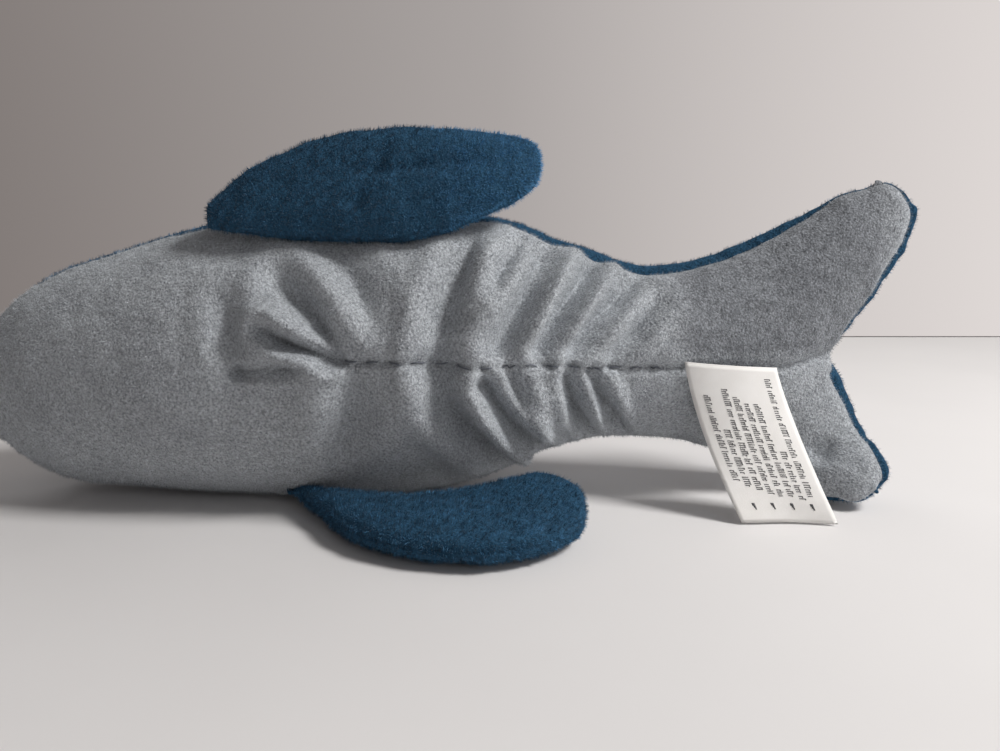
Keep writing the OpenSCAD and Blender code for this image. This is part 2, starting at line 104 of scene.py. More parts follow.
def curve(x, rows):
    """Smooth values at x through rows of (x, value)."""
    xs, ys = np.array(rows, float).T
    x = np.asarray(x, float)
    slope = np.empty_like(ys)
    slope[1:-1] = (ys[2:] - ys[:-2]) / (xs[2:] - xs[:-2])
    slope[0] = (ys[1] - ys[0]) / (xs[1] - xs[0])
    slope[-1] = (ys[-1] - ys[-2]) / (xs[-1] - xs[-2])
    i = np.clip(np.searchsorted(xs, x, side="right") - 1, 0, len(xs) - 2)
    w = xs[i + 1] - xs[i]
    t = np.clip((x - xs[i]) / w, 0, 1)
    s = t * t * (3 - 2 * t)
    return ys[i] * (1 - s) + ys[i + 1] * s + w * t * (1 - t) * (slope[i] * (1 - t) - slope[i + 1] * t)


def ramp(x, a, b):
    """0 at a and before, 1 at b and after, smooth between."""
    t = np.clip((np.asarray(x, float) - a) / (b - a), 0, 1)
    return t * t * (3 - 2 * t)


def dome(t):
    return np.sqrt(np.clip(1 - np.square(t), 0, 1))


def mound(u, v=0.0):
    """1 where u and v are 0, falling to 0 over about 2."""
    return np.exp(-np.square(u) - np.square(v))


def share(x):
    return (np.asarray(x, float) - SNOUT_X) / BODY_LENGTH


def half_width(x):
    return HALF_WIDTH * curve(share(x), WIDTH_ROWS)


def depth(x, rows, full):
    return np.clip(full * curve(share(x), rows), 0, full)


def middle_z(x):
    return half_width(x) + curve(share(x), RISE_ROWS)


def from_middle(p):
    """Height above the seam along the middle of the back."""
    return p[:, 2] - middle_z(np.minimum(p[:, 0], BEND_X))


def tail_share(x):
    return (np.asarray(x, float) - BEND_X) / TAIL_LENGTH


def side_reach(x):
    return HALF_SPAN * curve(tail_share(x), SIDE_ROWS)


def tail_depth(x):
    return STOCK_DEPTH * curve(tail_share(x), TAIL_DEPTH_ROWS)


def rear_x(s):
    return BEND_X + TAIL_LENGTH * curve(np.abs(s) / HALF_SPAN, REAR_ROWS)


def front_x(s):
    return BEND_X + TAIL_LENGTH * curve(np.abs(s) / HALF_SPAN, FRONT_ROWS)


def waves(p, size, seed):
    """Smooth noise of about -1 to 1 from a few sine waves, size mm apart."""
    rng = np.random.default_rng(seed)
    total = np.zeros(len(p))
    for _ in range(9):
        way = rng.normal(size=3)
        way *= 2 * math.pi / (size * rng.uniform(0.7, 1.5) * np.linalg.norm(way))
        total += np.sin(p @ way + rng.uniform(0, 2 * math.pi))
    return total / 3


# ---- mesh helpers


def mesh_object(name, points, faces):
    mesh = bpy.data.meshes.new(name)
    mesh.from_pydata((np.asarray(points) * MM).tolist(), [], faces)
    mesh.update()
    made = bpy.data.objects.new(name, mesh)
    scene.collection.objects.link(made)
    return made


def facing_out(thing):
    """Turns every face of a closed mesh outwards."""
    bm = bmesh.new()
    bm.from_mesh(thing.data)
    bmesh.ops.recalc_face_normals(bm, faces=bm.faces)
    bm.to_mesh(thing.data)
    bm.free()
    return thing


def joined(name, shells):
    """One object from closed shells, each given as its points and faces."""
    points, faces = [], []
    for shell_points, shell_faces in shells:
        shift = sum(len(q) for q in points)
        points.append(shell_points)
        faces += [tuple(i + shift for i in f) for f in shell_faces]
    return facing_out(mesh_object(name, np.concatenate(points), faces))


def loft(rings):
    """Closed solid through rings, an array of n rings of m points."""
    n, m = rings.shape[:2]
    faces = [
        (i * m + j, i * m + (j + 1) % m, (i + 1) * m + (j + 1) % m, (i + 1) * m + j)
        for i in range(n - 1)
        for j in range(m)
    ]
    faces += [tuple(range(m))[::-1], tuple(range((n - 1) * m, n * m))]
    return rings.reshape(-1, 3), faces


def vectors(items, name):
    """One row of x, y and z for each item."""
    values = np.empty(len(items) * 3, np.float32)
    items.foreach_get(name, values)
    return values.reshape(-1, 3).astype(float)


def indices(items, count):
    """The vertices of each edge or triangle, count of them."""
    values = np.empty(len(items) * count, np.int32)
    items.foreach_get("vertices", values)
    return values.reshape(-1, count)


def places(thing):
    return vectors(thing.data.vertices, "co") / MM


def normals(thing):
    return vectors(thing.data.vertex_normals, "vector")


def put(thing, points):
    thing.data.vertices.foreach_set("co", (points * MM).astype(np.float32).ravel())
    thing.data.update()


def settle(thing):
    """Applies the object's modifiers."""
    bpy.context.view_layer.update()
    graph = bpy.context.evaluated_depsgraph_get()
    mesh = bpy.data.meshes.new_from_object(thing.evaluated_get(graph))
    thing.modifiers.clear()
    thing.data = mesh
    return thing


def remesh(thing, voxel):
    change = thing.modifiers.new("Remesh", "REMESH")
    change.mode = "VOXEL"
    change.voxel_size = voxel * MM
    return relax(settle(thing), 2)


def subdivide(thing, levels):
    change = thing.modifiers.new("Subdivision", "SUBSURF")
    change.levels = levels
    change.render_levels = levels
    return settle(thing)


def relax(thing, times):
    """Evens out the small ripples that the simulation leaves at seams."""
    change = thing.modifiers.new("Smooth", "SMOOTH")
    change.factor = 0.5
    change.iterations = times
    return settle(thing)


def inflate(thing, pressure, cap):
    """Fills the closed cloth as air would, by a Cloth simulation whose result is kept on the mesh."""
    rest = places(thing)
    cloth = thing.modifiers.new("Cloth", "CLOTH")
    settings = cloth.settings
    settings.quality = 6
    settings.mass = 0.15
    settings.tension_stiffness = 12
    settings.compression_stiffness = 12
    settings.shear_stiffness = 6
    settings.bending_stiffness = 0.3
    settings.use_pressure = True
    settings.uniform_pressure_force = pressure
    settings.effector_weights.gravity = 0
    cloth.collision_settings.use_self_collision = False
    for step in range(1, 21):
        scene.frame_set(step)
    graph = bpy.context.evaluated_depsgraph_get()
    filled = thing.evaluated_get(graph)
    shift = vectors(filled.data.vertices, "co") / MM - rest
    thing.modifiers.clear()
    scene.frame_set(1)
    length = np.linalg.norm(shift, axis=1, keepdims=True)
    put(thing, rest + shift * np.minimum(1, cap / np.maximum(length, 1e-6)))
    return thing


def nearest(points, targets):
    """Distance from each point to the nearest target."""
    tree = KDTree(len(targets))
    for i, t in enumerate(targets):
        tree.insert(t, i)
    tree.balance()
    return np.array([tree.find(p)[2] for p in points])


def crossings(thing, field):
    """The points where the mesh's edges cross field = 0."""
    a, b = indices(thing.data.edges, 2).T
    cut = (field[a] < 0) != (field[b] < 0)
    a, b = a[cut], b[cut]
    t = (field[a] / (field[a] - field[b]))[:, None]
    co = places(thing)
    return co[a] * (1 - t) + co[b] * t


def part_of(thing, name, field, keep_above):
    """A copy of the mesh cut along field = 0, with only the side above or below it."""
    bm = bmesh.new()
    bm.from_mesh(thing.data)
    kept = bm.verts.layers.float_vector.new("kept")
    for v, value in zip(bm.verts, field):
        v[kept] = v.co
        v.co = (v.co.x, value * MM, v.co.z)
    bmesh.ops.bisect_plane(
        bm,
        geom=bm.verts[:] + bm.edges[:] + bm.faces[:],
        dist=1e-7,
        plane_co=(0, 0, 0),
        plane_no=(0, 1, 0),
        clear_inner=keep_above,
        clear_outer=not keep_above,
    )
    for v in bm.verts:
        v.co = v[kept]
    bm.verts.layers.float_vector.remove(kept)
    mesh = bpy.data.meshes.new(name)
    bm.to_mesh(mesh)
    bm.free()
    made = bpy.data.objects.new(name, mesh)
    scene.collection.objects.link(made)
    return made


def thicken(thing, wall):
    """Gives a cloth skin its thickness, inwards, along normals evened out between neighbours."""
    mesh = thing.data
    a, b = indices(thing.data.edges, 2).T
    outer, way = places(thing), normals(thing)
    for _ in range(8):
        total = way.copy()
        np.add.at(total, a, way[b])
        np.add.at(total, b, way[a])
        way = total / np.maximum(np.linalg.norm(total, axis=1, keepdims=True), 1e-6)
    count = len(outer)
    faces = [tuple(f.vertices) for f in mesh.polygons]
    sides = {(f[i - 1], f[i]) for f in faces for i in range(len(f))}
    rim = [(v, u, u + count, v + count) for u, v in sorted(sides) if (v, u) not in sides]
    inner = [tuple(i + count for i in reversed(f)) for f in faces]
    solid = bpy.data.meshes.new(thing.name)
    solid.from_pydata((np.concatenate([outer, outer - way * wall]) * MM).tolist(), [], faces + inner + rim)
    solid.update()
    thing.data = solid
    return thing


def drop(*things):
    for thing in things:
        bpy.data.objects.remove(thing)


# ---- materials


def new_material(name):
    material = bpy.data.materials.new(name)
    material.use_nodes = True
    return material, material.node_tree, material.node_tree.nodes["Principled BSDF"]


def set_values(node, values):
    """Sets a node's inputs to constants."""
    for name, value in values.items():
        node.inputs[name].default_value = value


def noise(tree, size, detail=2.0, stretch=(1, 1, 1)):
    """Noise texture in object space, its features about size mm across."""
    place = tree.nodes.new("ShaderNodeTexCoord")
    mapping = tree.nodes.new("ShaderNodeMapping")
    mapping.inputs["Scale"].default_value = stretch
    texture = tree.nodes.new("ShaderNodeTexNoise")
    texture.inputs["Scale"].default_value = 1 / (size * MM)
    texture.inputs["Detail"].default_value = detail
    tree.links.new(place.outputs["Object"], mapping.inputs["Vector"])
    tree.links.new(mapping.outputs["Vector"], texture.inputs["Vector"])
    return texture.outputs["Fac"]


def graded(tree, value, stops):
    """Colour ramp from (position, colour) stops."""
    node = tree.nodes.new("ShaderNodeValToRGB")
    elements = node.color_ramp.elements
    while len(elements) < len(stops):
        elements.new(0.5)
    for element, (position, colour) in zip(elements, stops):
        element.position = position
        element.color = (*colour, 1)
    tree.links.new(value, node.inputs["Fac"])
    return node.outputs["Color"]


def mixed(tree, blend_type, factor, a, b):
    node = tree.nodes.new("ShaderNodeMix")
    node.data_type = "RGBA"
    node.blend_type = blend_type
    node.inputs["Factor"].default_value = factor
    tree.links.new(a, node.inputs[6])
    tree.links.new(b, node.inputs[7])
    return node.outputs[2]


def bump(tree, shader, height, distance, strength, below=None):
    node = tree.nodes.new("ShaderNodeBump")
    node.inputs["Distance"].default_value = distance * MM
    node.inputs["Strength"].default_value = strength
    tree.links.new(height, node.inputs["Height"])
    if below is not None:
        tree.links.new(below, node.inputs["Normal"])
    tree.links.new(node.outputs["Normal"], shader.inputs["Normal"])
    return node.outputs["Normal"]


def scaled(colour, by):
    return tuple(min(1.0, c * by) for c in colour)


def mapped(tree, value, start, end, to_start=0.0, to_end=1.0):
    """Runs from to_start to to_end while value runs from start to end, and stays there beyond them."""
    node = tree.nodes.new("ShaderNodeMapRange")
    set_values(node, {"From Min": start, "From Max": end, "To Min": to_start, "To Max": to_end})
    tree.links.new(value, node.inputs["Value"])
    return node.outputs["Result"]


def product(tree, a, b):
    node = tree.nodes.new("ShaderNodeMath")
    node.operation = "MULTIPLY"
    tree.links.new(a, node.inputs[0])
    tree.links.new(b, node.inputs[1])
    return node.outputs["Value"]


def axes_of(tree, space):
    """The X, Y and Z outputs of a texture coordinate."""
    place = tree.nodes.new("ShaderNodeTexCoord")
    split = tree.nodes.new("ShaderNodeSeparateXYZ")
    tree.links.new(place.outputs[space], split.inputs["Vector"])
    return split.outputs


def coloured(name, size, detail, stops, stretch=(1, 1, 1)):
    """A material whose colour runs through stops, by noise of about size mm."""
    material, tree, shader = new_material(name)
    colour = graded(tree, noise(tree, size, detail, stretch), stops)
    tree.links.new(colour, shader.inputs["Base Color"])
    return material, tree, shader


def painted_tail_shade(tree, colour):
    """Painted shade: darkens the tail's pile, which lies against the nap of the belly's and so looks darker
    under the light.
    """
    axes = axes_of(tree, "Object")
    on_tail = mapped(tree, axes["X"], 56 * MM, 64 * MM)
    upper = mapped(tree, axes["Z"], 32 * MM, 36 * MM)
    off_edge = mapped(tree, axes["X"], 112 * MM, 104 * MM)
    amount = product(tree, product(tree, on_tail, upper), off_edge)
    shade = graded(tree, amount, [(0.0, (1, 1, 1)), (1.0, (0.6, 0.6, 0.61))])
    return mixed(tree, "MULTIPLY", 1.0, colour, shade)


def plush_skin(name, colour, sheen):
    """Short pile seen from above: clumps of random tone, with painted shade between them and painted light on
    their tops.
    """
    material, tree, shader = new_material(name)
    stops = [(0.3, scaled(colour, 0.55)), (0.52, colour), (0.72, scaled(colour, 1.4))]
    clumps = graded(tree, noise(tree, 0.5, 3.0), stops)
    brushed = graded(tree, noise(tree, 9.0, 2.0), [(0.3, (0.86, 0.86, 0.87)), (0.7, (1, 1, 1))])
    shade = mixed(tree, "MULTIPLY", 1.0, clumps, brushed)
    # Painted shade on the tail of the grey cloth
    if name == "grey_plush":
        shade = painted_tail_shade(tree, shade)
    tree.links.new(shade, shader.inputs["Base Color"])
    set_values(shader, {
        "Roughness": 1.0, "Specular IOR Level": 0.1,
        "Sheen Weight": sheen, "Sheen Roughness": 0.5, "Sheen Tint": (*scaled(colour, 1.6), 1),
    })
    coarse = bump(tree, shader, noise(tree, 2.2, 2.0), 0.5, 0.8)
    bump(tree, shader, noise(tree, 0.45, 2.0), 0.35, 1.0, coarse)
    return material


def plush_strand(name, colour, sheen):
    """One tone of the pile's fibres, which shine at grazing angles."""
    material, _, shader = new_material(name)
    set_values(shader, {
        "Base Color": (*colour, 1), "Roughness": 0.9, "Specular IOR Level": 0.15,
        "Sheen Weight": sheen, "Sheen Roughness": 0.45,
        "Sheen Tint": (*[0.25 + 0.6 * c for c in scaled(colour, 2.0)], 1),
    })
    return material


def fibre_material():
    stops = [(0.3, (0.6, 0.6, 0.6)), (0.65, (0.88, 0.88, 0.87))]
    material, tree, shader = coloured("polyester_fibre", 1.2, 6.0, stops, (1, 3, 1))
    set_values(shader, {"Roughness": 0.95})
    bump(tree, shader, noise(tree, 0.8, 5.0, (1, 4, 1)), 0.6, 1.0)
    return material


def ribbon_material():
    """White satin: fine lengthwise threads and a soft shine."""
    stops = [(0.3, (0.88, 0.86, 0.83)), (0.7, (0.94, 0.925, 0.9))]
    material, tree, shader = coloured("satin_ribbon", 6.0, 2.0, stops)
    set_values(shader, {"Roughness": 0.55, "Sheen Weight": 0.15})
    bump(tree, shader, noise(tree, 0.3, 2.0, (6, 1, 0.4)), 0.05, 0.6)
    return material


def print_material():
    stops = [(0.3, (0.05, 0.05, 0.055)), (0.7, (0.12, 0.12, 0.13))]
    material, _, shader = coloured("label_print", 0.5, 2.0, stops)
    set_values(shader, {"Roughness": 0.8})
    return material


def thread_material():
    stops = [(0.35, (0.09, 0.1, 0.12)), (0.65, (0.2, 0.22, 0.26))]
    material, tree, shader = coloured("sewing_thread", 0.25, 1.0, stops, (3, 1, 1))
    set_values(shader, {"Roughness": 0.7, "Sheen Weight": 0.2})
    bump(tree, shader, noise(tree, 0.2, 1.0, (4, 1, 1)), 0.08, 1.0)
    return material


def eye_material():
    stops = [(0.4, (0.004, 0.004, 0.005)), (0.7, (0.012, 0.012, 0.014))]
    material, tree, shader = coloured("black_plastic_eye", 2.0, 3.0, stops)
    set_values(shader, {"Roughness": 0.12, "Coat Weight": 0.6, "Coat Roughness": 0.05})
    bump(tree, shader, noise(tree, 3.0, 2.0), 0.02, 0.2)
    return material


def washer_material():
    stops = [(0.35, (0.7, 0.7, 0.68)), (0.65, (0.8, 0.8, 0.78))]
    material, _, shader = coloured("moulded_washer", 1.5, 2.0, stops)
    set_values(shader, {"Roughness": 0.45})
    return material


GREY = (0.42, 0.443, 0.468)
BLUE = (0.025, 0.074, 0.132)
MATERIALS = {
    "grey": plush_skin("grey_plush", GREY, 0.6),
    "blue": plush_skin("blue_plush", BLUE, 0.5),
    "fibre": fibre_material(),
    "ribbon": ribbon_material(),
    "print": print_material(),
    "thread": thread_material(),
}
TONES = {
    kind: [plush_strand(f"{kind}_pile_{i}", scaled(colour, k), sheen) for i, k in enumerate(tones)]
    for kind, colour, sheen, tones in (
        ("grey", GREY, 0.6, (0.65, 1.0, 1.3, 1.8)),
        ("blue", BLUE, 0.9, (0.45, 1.0, 2.1, 4.0)),
    )
}


def paint(thing, material):
    thing.data.materials.clear()
    thing.data.materials.append(material)
    thing.data.polygons.foreach_set("use_smooth", [True] * len(thing.data.polygons))
    return thing


# ---- pile


def tail_shade_mask(p):
    """1 on the tail's middle and upper fluke, where the pile lies the other way and painted shade makes it
    darker.
    """
    x, z = p[:, 0], p[:, 2]
    return ramp(x, 57, 63) * ramp(z, 33, 36) * ramp(x - 0.25 * z, 96, 88) * ramp(z, 78, 70)


def scattered(skin, density, rng, span):
    """Places spread evenly over a skin between two values of x, so many per square mm, and its normals."""
    skin.data.calc_loop_triangles()
    tri = indices(skin.data.loop_triangles, 3)
    co, no = places(skin), normals(skin)
    middle = co[tri].mean(1)[:, 0]
    tri = tri[(middle >= span[0]) & (middle < span[1])]
    a, b, c = co[tri[:, 0]], co[tri[:, 1]], co[tri[:, 2]]
    area = np.linalg.norm(np.cross(b - a, c - a), axis=1) / 2
    count = int(area.sum() * density)
    pick = np.searchsorted(np.cumsum(area) / area.sum(), rng.random(count))
    pick = np.clip(pick, 0, len(tri) - 1)
    u, v = rng.random(count), rng.random(count)
    over = u + v > 1
    u[over], v[over] = 1 - u[over], 1 - v[over]
    w = (1 - u - v)[:, None]
    u, v = u[:, None], v[:, None]
    base = a[pick] * w + b[pick] * u + c[pick] * v
    up = no[tri[pick, 0]] * w + no[tri[pick, 1]] * u + no[tri[pick, 2]] * v
    return base, up / np.linalg.norm(up, axis=1, keepdims=True)


# Half the thickness of a fibre at its root, and how deep its root sits in the cloth
FIBRE_HALF = 0.06
ROOTED = 0.25
# How strongly neighbouring fibres lean together, and share a tone
LEAN = 0.45
TUFTED = {"grey": 0.5, "blue": 0.8}


def pile(name, skin, kind, density, length, nap, seed, span=(-200, 200)):
    """Fibres on a skin between two values of x, as one mesh of thin closed spikes that lean along nap."""
    rng = np.random.default_rng(seed)
    base, up = scattered(skin, density, rng, span)
    count = len(base)
    nap = np.asarray(nap, float)
    along = nap - up * (up @ nap)[:, None]
    clump = np.stack([waves(base, 2.2, seed + k) for k in (1, 2, 3)], 1)
    lean = up + 0.55 * along + LEAN * clump + 0.25 * rng.normal(size=(count, 3))
    lean /= np.linalg.norm(lean, axis=1, keepdims=True)
    reach = length * rng.uniform(0.65, 1.15, (count, 1))
    across = np.cross(lean, rng.normal(size=(count, 3)))
    across /= np.linalg.norm(across, axis=1, keepdims=True)
    other = np.cross(lean, across)
    low = base - up * ROOTED
    corners = [
        low + across * FIBRE_HALF,
        low - across * FIBRE_HALF * 0.5 + other * FIBRE_HALF * 0.87,
        low - across * FIBRE_HALF * 0.5 - other * FIBRE_HALF * 0.87,
        base + lean * reach,
    ]
    points = np.stack(corners, 1).reshape(-1, 3)
    points[:, 2] = np.maximum(points[:, 2], 0.02)
    first = np.arange(count)[:, None] * 4
    spike = ([0, 2, 1], [0, 1, 3], [1, 2, 3], [2, 0, 3])
    faces = np.concatenate([first + f for f in spike], 1).reshape(-1, 3)
    made = mesh_object(name, points, faces.tolist())
    for tone in TONES[kind]:
        made.data.materials.append(tone)
    shade = TUFTED[kind] * waves(base, 1.9, seed + 7) + 0.4 * waves(base, 0.9, seed + 8)
    shade = shade + 0.45 * rng.normal(size=count)
    # Painted shade: darker pile tones on the tail's middle and upper fluke
    if kind == "grey":
        shade -= 1.3 * tail_shade_mask(base)
    # Painted light: the left fin's pile is lighter towards its tip and darker near its root
    if name.startswith("left_fin"):
        shade += 3.0 * ramp(base[:, 0], -5, 25) - 0.5
    tone = np.digitize(shade, (-0.8, 0.35, 1.1))
    made.data.polygons.foreach_set("material_index", np.repeat(tone, 4).astype(np.int32))
    made.data.polygons.foreach_set("use_smooth", np.zeros(count * 4, bool))
    return made


# ---- body and tail


# The flat pattern of the tail is wider than the filled tail, because filling draws its edges in
FULLER = 3.0
# How far the body's loft runs into the tail's, before the two are merged
LAP = 8.0
# Half the least thickness of the tail's skin and of its fibre
LEAST_SKIN, LEAST_FIBRE = 1.7, 0.5


def body_rings(inset):
    x = np.linspace(SNOUT_X + 0.6 + inset, BEND_X + LAP, 70)
    turn = np.linspace(0, 2 * math.pi, 48, endpoint=False)
    w = np.maximum(half_width(x) - inset + FULLER * ramp(x, 20, 45), 1.0)[:, None]
    belly = np.maximum(depth(x, BELLY_ROWS, BELLY) - inset, 1.0)[:, None]
    back = np.maximum(depth(x, BACK_ROWS, BACK) - inset, 1.0)[:, None]
    c = np.cos(turn)[None]
    y = SEAM_Y - np.where(c > 0, belly, back) * c
    z = middle_z(x)[:, None] + w * np.sin(turn)[None]
    return np.stack([np.broadcast_to(x[:, None], y.shape), y, np.maximum(z, 0.4 + inset)], -1)


def tail_rings(inset):
    """The tail with its flukes laid flat, as rings across them."""
    s = HALF_SPAN * np.sin(np.linspace(-1, 1, 61) * math.pi / 2)
    edge_inset = inset - FULLER
    least = LEAST_SKIN if inset < FULLER else LEAST_FIBRE
    kept = s * (HALF_SPAN - edge_inset) / HALF_SPAN
    rear = rear_x(kept) - edge_inset
    front = np.where(np.abs(kept) < STOCK_HALF, BEND_X - 4, front_x(kept) + edge_inset)
    front = np.minimum(front, rear - 2)
    t = np.linspace(0, math.pi / 2, 22)
    x = front[:, None] + (rear - front)[:, None] * np.sin(t)[None]
    reach = np.maximum(side_reach(np.maximum(x, BEND_X)) - edge_inset, 1)
    high = np.maximum(tail_depth(np.maximum(x, BEND_X)) - inset, 0.8)
    edge = dome(1 - np.clip((rear[:, None] - x) / EDGE_ROUND, 0, 1))
    y = np.maximum(high * dome(np.minimum(1, np.abs(kept)[:, None] / reach)) * edge, least)
    z = np.broadcast_to(STOCK_Z + kept[:, None], x.shape)
    top = np.stack([x, SEAM_Y + y, z], -1)
    low = np.stack([x, SEAM_Y - y, z], -1)
    return np.concatenate([top, low[:, ::-1]], 1)


def unfolded_body(inset, voxel):
    """Body and tail as one closed mesh, the flukes laid flat."""
    return remesh(joined("unfolded", [loft(body_rings(inset)), loft(tail_rings(inset))]), voxel)


def folded(p):
    """The lower fluke bent towards the belly, as in part.scad."""
    x, y, s = p[:, 0], p[:, 1] - SEAM_Y, p[:, 2] - STOCK_Z
    reach = (x - NOTCH_X) * math.sin(FOLD_SLANT) - s * math.cos(FOLD_SLANT) - FOLD_START
    out = np.maximum(0, reach)
    turned = FOLD_ANGLE * np.minimum(1, out / FOLD_LENGTH)
    radius = FOLD_LENGTH / FOLD_ANGLE
    rest = np.maximum(0, out - FOLD_LENGTH)
    inward = out - radius * np.sin(turned) - rest * np.cos(turned) - y * np.sin(turned)
    aside = radius * (1 - np.cos(turned)) + rest * np.sin(turned)
    bent = np.stack(
        [
            x - inward * math.sin(FOLD_SLANT),
            SEAM_Y - aside + y * np.cos(turned),
            STOCK_Z + s + inward * math.cos(FOLD_SLANT),
        ],
        1,
    )
    bent[:, 2] = np.maximum(bent[:, 2], 0.3)
    return bent


# Creases in the belly, each the points (x, z) of its line, its half width and its depth
CREASES = [
    ([(8, 36), (10, 47), (13, 54), (16, 60)], 2.6, 1.5),
    ([(20, 50), (22, 54), (25, 58)], 1.8, 1.0),
    ([(21, 38), (26.5, 48), (30, 55)], 2.0, 1.7),
    ([(29.5, 37), (34, 45), (39, 51), (42, 55)], 1.7, 2.0),
    ([(36, 36.5), (42, 43), (48, 48), (52, 51)], 1.8, 1.4),
    ([(45, 34.5), (50, 39.5), (55, 46)], 1.8, 0.8),
    ([(9, 33), (9.5, 27), (14, 20), (21, 12)], 2.6, 2.0),
    ([(18, 30), (23, 21), (30, 13)], 1.7, 2.6),
    ([(23, 32), (26.5, 23)], 1.5, 1.2),
    ([(35.5, 31), (37.5, 23.5), (42, 16)], 1.5, 1.9),
    ([(40.5, 31), (43, 25), (48, 17)], 1.5, 1.7),
    ([(-35, 46), (-34, 40), (-32.5, 33)], 2.2, 0.9),
    ([(-27, 41.5), (-21, 38.5), (-12.5, 35.5)], 1.2, 2.4),
    ([(-24, 51), (-16.5, 44.5), (-11.5, 37)], 2.4, 2.2),
    ([(-13, 57), (-8, 50), (-5, 43)], 3.2, 1.1),
    ([(-8.3, 33), (-8.7, 25), (-11.5, 16)], 3.4, 1.9),
    ([(-32.5, 33), (-23, 33.6), (-14, 34.6)], 1.1, 0.8),
]
# Raised places, each (x, z, half length, half height, rise)
PUFFS = [
    (-23, 43.5, 8, 3.0, 1.3),
    (-21, 34, 8, 3.0, 0.5),
    (16, 57, 3.5, 6, 1.2),
    (15, 25, 3.5, 5, 1.0),
    (25, 15, 4, 4, 1.2),
    (30, 22, 4, 6, 1.3),
    (40, 22, 2.5, 6, 1.0),
    (36, 55, 4, 5, 0.6),
    (-45, 30, 14, 16, 0.8),
    (97, 6, 3.5, 4, -1.8),
    (99, 0, 5, 3, 0.8),
]
# The closing seam, the end of it that draws the cloth in deepest, and the length of a stitch
CLOSING = [
    (-11.6, 35), (-1, 35.1), (10, 34.3), (21, 34), (35, 33.4),
    (40.5, 32), (58.5, 31.4), (83, 30.9), (88, 31.6), (96, 33.2),
]
PIT = (-32.8, 33.0)
STITCH = 4.6


def line_distance(x, z, line):
    """Distance to a line of points, and the share of the way along it."""
    best = np.full(len(x), 1e9)
    along = np.zeros(len(x))
    points = np.array(line, float)
    steps = np.linalg.norm(np.diff(points, axis=0), axis=1)
    done = 0.0
    for a, b, step in zip(points[:-1], points[1:], steps):
        t = np.clip(((x - a[0]) * (b[0] - a[0]) + (z - a[1]) * (b[1] - a[1])) / step**2, 0, 1)
        d = np.hypot(x - a[0] - t * (b[0] - a[0]), z - a[1] - t * (b[1] - a[1]))
        closer = d < best
        best = np.where(closer, d, best)
        along = np.where(closer, (done + t * step) / steps.sum(), along)
        done += step
    return best, along


def crease(x, z, line, width, deep):
    """A valley along the line with a little swelling beside it."""
    d, along = line_distance(x, z, line)
    taper = 0.25 + 0.75 * np.sin(np.pi * np.clip(0.12 + 0.8 * along, 0, 1))
    valley = -deep * np.exp(-np.power(d / width, 1.25))
    swell = 0.4 * deep * mound((d - 2.3 * width) / (1.2 * width))
    return (valley + swell) * taper


def closing_z(x):
    xs, zs = np.array(CLOSING, float).T
    return np.interp(x, xs, zs)


def stitch_places():
    return np.arange(-10.5, 57.5, STITCH)


def belly_relief(p):
    """How far the belly's cloth is drawn in or stands out, from its gathers, creases and seam."""
    x, z = p[:, 0], p[:, 2]
    rise = np.zeros(len(p))
    for line, width, deep in CREASES:
        rise += (2.4 + 0.8 * (x > 0)) * crease(x, z, line, width, deep)
    for cx, cz, a, b, high in PUFFS:
        rise += 1.5 * high * mound((x - cx) / a, (z - cz) / b)
    d, _ = line_distance(x, z, CLOSING)
    rise -= 1.3 * mound(d / 0.8) + 0.6 * mound(d / 4)
    for k, at in enumerate(stitch_places()):
        here = float(closing_z(at))
        tight = 0.3 + 0.22 * math.sin(2.3 * k)
        rise -= tight * mound((x - at) / 0.8, (z - here) / 0.8)
        for way in (1, -1):
            reach = 5.5 + 2 * math.sin(1.7 * k + way)
            d, along = line_distance(x, z, [(at, here), (at + 1.5, here + way * reach)])
            rise -= tight * 0.8 * mound(d / 0.8) * (1 - along) * (d < 4)
    pit = np.hypot(x - PIT[0], z - PIT[1])
    rise -= 2.2 * mound(pit / 1.3) + 0.9 * mound(pit / 5)
    return np.where(rise < 0, 4.0 * np.tanh(rise / 4.0), rise)


def blue_edge(p):
    """Below zero where the cloth is grey: the side seams, moved to the belly side where the blue shows."""
    x, y, s = p[:, 0], p[:, 1] - SEAM_Y, from_middle(p)
    on_tail = x > BEND_X
    tail_x = np.maximum(x, BEND_X)
    reach = np.where(on_tail, side_reach(tail_x), half_width(x))
    high = np.where(on_tail, tail_depth(tail_x), depth(x, BELLY_ROWS, BELLY))
    strip = (0.25 + 0.65 * ramp(x, -20, 15)) * (1 - 0.95 * ramp(x, 80, 98))
    lift = high * dome(1 - strip / reach) * ramp(s / reach, 0.35, 0.8)
    rear = rear_x(np.clip(s, -HALF_SPAN, HALF_SPAN))
    trail = np.where(s > 0, 0.6, 2.4)
    near = ramp(rear - x, 8, 4) * ramp(np.abs(s), 0, 6)
    back = high * dome(np.minimum(1, np.abs(s) / reach)) * dome(1 - trail / EDGE_ROUND) * near
    return y + np.maximum(lift, np.where(on_tail, back, 0))


def groove(thing, field, deep, width):
    """Draws the mesh in along field = 0, as a seam does."""
    line = crossings(thing, field)
    co = places(thing)
    d = nearest(co, line)
    return -deep * mound(d / width) + 0.25 * deep * mound((d - 2.6 * width) / width)


def reach_at(x):
    """Half width of the toy at x, body or tail, with the flukes laid flat."""
    rounded = 2.5 * np.square(np.maximum(0, x - 104.5) / 4.5)
    flukes = np.minimum(side_reach(np.maximum(x, BEND_X)), HALF_SPAN - rounded)
    return np.where(x > BEND_X, flukes, half_width(x)) - 0.4


def stretch(along, out, target, at):
    """How much longer out must be, along a row of places, for the mesh to reach its target."""
    factors = []
    for place in at:
        near = out[np.abs(along - place) < 1.6]
        factors.append(float(target(place)) / max(float(near.max()), 1.0) if len(near) else 1.0)
    padded = np.pad(np.clip(factors, 0.85, 1.15), 1, mode="edge")
    return np.interp(along, at, np.convolve(padded, (0.25, 0.5, 0.25), mode="valid"))


